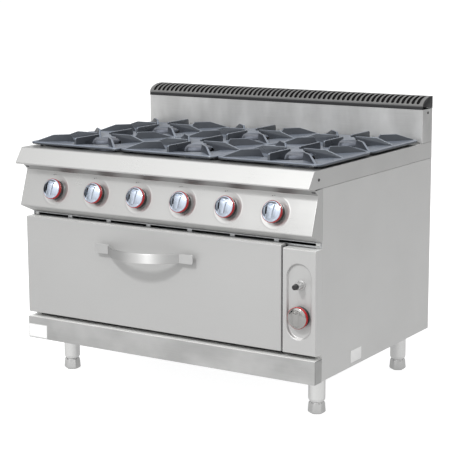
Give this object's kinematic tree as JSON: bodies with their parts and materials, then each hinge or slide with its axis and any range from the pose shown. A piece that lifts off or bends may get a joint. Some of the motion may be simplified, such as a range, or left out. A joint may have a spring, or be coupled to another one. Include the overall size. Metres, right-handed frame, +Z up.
{
  "type": "commercial gas range",
  "caption": "Free-standing stainless steel gas range: open burners with cast pan supports over a full-width oven, raised flue at the back, bowed door handle, levelling feet.",
  "frame": {"origin": "on the floor under the middle of the overall box, handle included", "axes": "+X to the viewer's right along the front, +Y towards the back, +Z up"},
  "size_m": [1.2, 0.9704, 1.016],
  "materials": {
    "body_steel": "satin brushed stainless steel",
    "panel_steel": "bright brushed stainless steel",
    "vent_grey": "dark grey enamelled cap",
    "cast_iron": "slate-grey satin enamelled cast iron",
    "burner_metal": "matt cast burner metal",
    "chrome": "polished chrome",
    "knob_finish": "chromed cap with a glossy red ring",
    "black_enamel": "glossy black enamel",
    "brass": "machined brass",
    "gasket_rope": "woven heat-proof seal",
    "black_plastic": "moulded black plastic",
    "zinc_steel": "galvanised sheet"
  },
  "bodies": {
    "root": {"side_panel_left": "body_steel", "side_panel_right": "body_steel", "plinth": "body_steel", "splashback": "body_steel", "hob_top": "panel_steel", "control_panel": "panel_steel", "control_box": "panel_steel", "vent_cap": "vent_grey", "vent_strip": "black_enamel", "oven_liner": "black_enamel", "oven_sole_plate": "black_enamel", "back_panel": "zinc_steel", "base_panel": "zinc_steel", "hinge_arm_left": "zinc_steel", "hinge_arm_right": "zinc_steel", "igniter_housing": "chrome", "door_gasket": "gasket_rope", "oven_burner": "burner_metal", "oven_thermostat_valve": "brass", "gas_manifold": "brass", "gas_inlet_pipe": "brass", "burner_body_1": "burner_metal", "burner_cap_1": "burner_metal", "burner_body_2": "burner_metal", "burner_cap_2": "burner_metal", "burner_body_3": "burner_metal", "burner_cap_3": "burner_metal", "burner_body_4": "burner_metal", "burner_cap_4": "burner_metal", "burner_body_5": "burner_metal", "burner_cap_5": "burner_metal", "burner_body_6": "burner_metal", "burner_cap_6": "burner_metal", "leg_front_left": "body_steel", "leg_front_right": "body_steel", "leg_rear_left": "body_steel", "leg_rear_right": "body_steel"},
    "door": {"door_outer": "body_steel", "door_inner": "black_enamel", "door_handle": "panel_steel"},
    "burner_knob_1": {"burner_knob_1": "knob_finish"},
    "burner_knob_2": {"burner_knob_2": "knob_finish"},
    "burner_knob_3": {"burner_knob_3": "knob_finish"},
    "burner_knob_4": {"burner_knob_4": "knob_finish"},
    "burner_knob_5": {"burner_knob_5": "knob_finish"},
    "burner_knob_6": {"burner_knob_6": "knob_finish"},
    "oven_knob": {"oven_knob": "knob_finish"},
    "igniter_button": {"igniter_button": "black_plastic"},
    "pan_support_1": {"pan_support_1": "cast_iron"},
    "pan_support_2": {"pan_support_2": "cast_iron"},
    "pan_support_3": {"pan_support_3": "cast_iron"},
    "pan_support_4": {"pan_support_4": "cast_iron"},
    "pan_support_5": {"pan_support_5": "cast_iron"},
    "pan_support_6": {"pan_support_6": "cast_iron"},
    "oven_rack": {"oven_rack": "chrome"},
    "foot_front_left": {"foot_front_left": "zinc_steel"},
    "foot_front_right": {"foot_front_right": "zinc_steel"},
    "foot_rear_left": {"foot_rear_left": "zinc_steel"},
    "foot_rear_right": {"foot_rear_right": "zinc_steel"}
  },
  "joints": [
    {"name": "door_hinge", "type": "hinge", "parent": "root", "child": "door", "pos_m": [0, -0.35975, 0.2525], "axis": [1, 0, 0], "range_deg": [0, 90], "stiffness_Nm_per_rad": 11, "springref_deg": -20.05},
    {"name": "burner_knob_1_turn", "type": "hinge", "parent": "root", "child": "burner_knob_1", "pos_m": [-0.4525, -0.39275, 0.70425], "axis": [0, -0.9491, 0.3151], "range_deg": [0, 210]},
    {"name": "burner_knob_2_turn", "type": "hinge", "parent": "root", "child": "burner_knob_2", "pos_m": [-0.2715, -0.39275, 0.70425], "axis": [0, -0.9491, 0.3151], "range_deg": [0, 210]},
    {"name": "burner_knob_3_turn", "type": "hinge", "parent": "root", "child": "burner_knob_3", "pos_m": [-0.0905, -0.39275, 0.70425], "axis": [0, -0.9491, 0.3151], "range_deg": [0, 210]},
    {"name": "burner_knob_4_turn", "type": "hinge", "parent": "root", "child": "burner_knob_4", "pos_m": [0.0905, -0.39275, 0.70425], "axis": [0, -0.9491, 0.3151], "range_deg": [0, 210]},
    {"name": "burner_knob_5_turn", "type": "hinge", "parent": "root", "child": "burner_knob_5", "pos_m": [0.2715, -0.39275, 0.70425], "axis": [0, -0.9491, 0.3151], "range_deg": [0, 210]},
    {"name": "burner_knob_6_turn", "type": "hinge", "parent": "root", "child": "burner_knob_6", "pos_m": [0.4525, -0.39275, 0.70425], "axis": [0, -0.9491, 0.3151], "range_deg": [0, 210]},
    {"name": "oven_knob_turn", "type": "hinge", "parent": "root", "child": "oven_knob", "pos_m": [0.54, -0.38575, 0.366], "axis": [0, -1, 0], "range_deg": [0, 270]},
    {"name": "igniter_push", "type": "slide", "parent": "root", "child": "igniter_button", "axis": [0, 1, 0], "range_m": [0, 0.008], "stiffness_N_per_m": 600, "springref_m": -0.003},
    {"name": "pan_support_1_lift", "type": "slide", "parent": "root", "child": "pan_support_1", "axis": [0, 0, 1], "range_m": [0, 0.08]},
    {"name": "pan_support_2_lift", "type": "slide", "parent": "root", "child": "pan_support_2", "axis": [0, 0, 1], "range_m": [0, 0.08]},
    {"name": "pan_support_3_lift", "type": "slide", "parent": "root", "child": "pan_support_3", "axis": [0, 0, 1], "range_m": [0, 0.08]},
    {"name": "pan_support_4_lift", "type": "slide", "parent": "root", "child": "pan_support_4", "axis": [0, 0, 1], "range_m": [0, 0.08]},
    {"name": "pan_support_5_lift", "type": "slide", "parent": "root", "child": "pan_support_5", "axis": [0, 0, 1], "range_m": [0, 0.08]},
    {"name": "pan_support_6_lift", "type": "slide", "parent": "root", "child": "pan_support_6", "axis": [0, 0, 1], "range_m": [0, 0.08]},
    {"name": "oven_rack_slide", "type": "slide", "parent": "root", "child": "oven_rack", "axis": [0, -1, 0], "range_m": [0, 0.03]},
    {"name": "foot_front_left_screw", "type": "hinge", "parent": "root", "child": "foot_front_left", "pos_m": [-0.523, -0.23375, 0.022], "axis": [0, 0, 1], "continuous": true},
    {"name": "foot_front_right_screw", "type": "hinge", "parent": "root", "child": "foot_front_right", "pos_m": [0.523, -0.23375, 0.022], "axis": [0, 0, 1], "continuous": true},
    {"name": "foot_rear_left_screw", "type": "hinge", "parent": "root", "child": "foot_rear_left", "pos_m": [-0.523, 0.39025, 0.022], "axis": [0, 0, 1], "continuous": true},
    {"name": "foot_rear_right_screw", "type": "hinge", "parent": "root", "child": "foot_rear_right", "pos_m": [0.523, 0.39025, 0.022], "axis": [0, 0, 1], "continuous": true}
  ]
}
